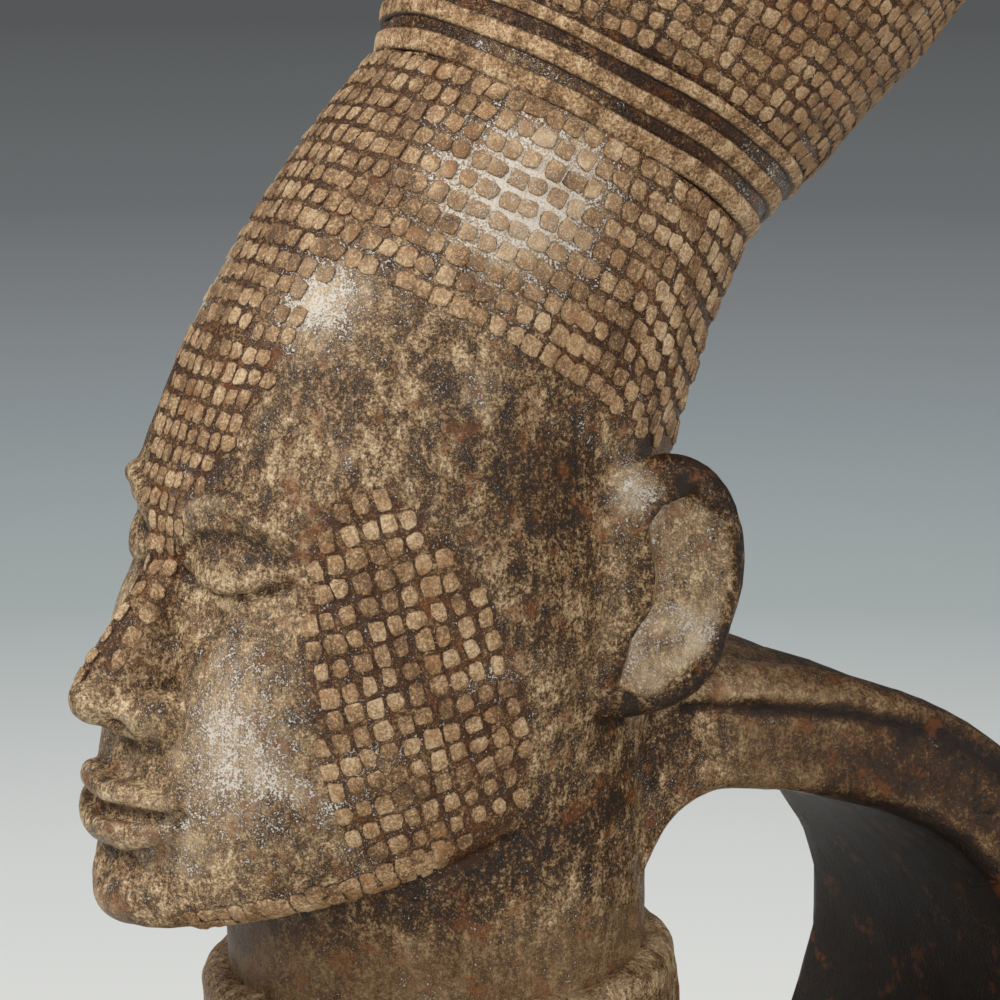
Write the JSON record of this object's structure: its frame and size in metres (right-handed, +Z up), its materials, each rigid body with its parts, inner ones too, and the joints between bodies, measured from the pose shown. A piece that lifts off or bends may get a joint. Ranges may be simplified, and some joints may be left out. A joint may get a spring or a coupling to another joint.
{
  "type": "figural wine vessel",
  "caption": "Hand-built clay jug: round belly, upright neck, human head with long leaning skull, flared open coiffure as the mouth, and a ribbed strap handle.",
  "frame": {"origin": "middle of the flat resting face under the belly", "axes": "+Z up, the face looks along -Y, its left side is +X, the handle is on +Y"},
  "size_m": [0.148, 0.1619, 0.3016],
  "materials": {
    "burnished_clay": "burnished low-fired clay, dark brown with worn tan patches",
    "worn_clay": "low-fired clay worn back to a pale tan"
  },
  "bodies": {
    "root": {"base_bowl": "burnished_clay", "shoulder_wall": "burnished_clay", "neck_collar": "burnished_clay", "neck_wall": "burnished_clay", "head_shell": "burnished_clay", "nose": "burnished_clay", "upper_lip": "worn_clay", "lower_lip": "worn_clay", "left_brow": "worn_clay", "left_upper_lid": "worn_clay", "left_lower_lid": "worn_clay", "left_ear": "burnished_clay", "right_brow": "worn_clay", "right_upper_lid": "worn_clay", "right_lower_lid": "worn_clay", "right_ear": "burnished_clay", "strap_handle": "burnished_clay", "coiffure_wall": "worn_clay", "headband_1": "worn_clay", "headband_2": "worn_clay", "headband_3": "worn_clay", "mouth_rim": "worn_clay"}
  },
  "joints": []
}
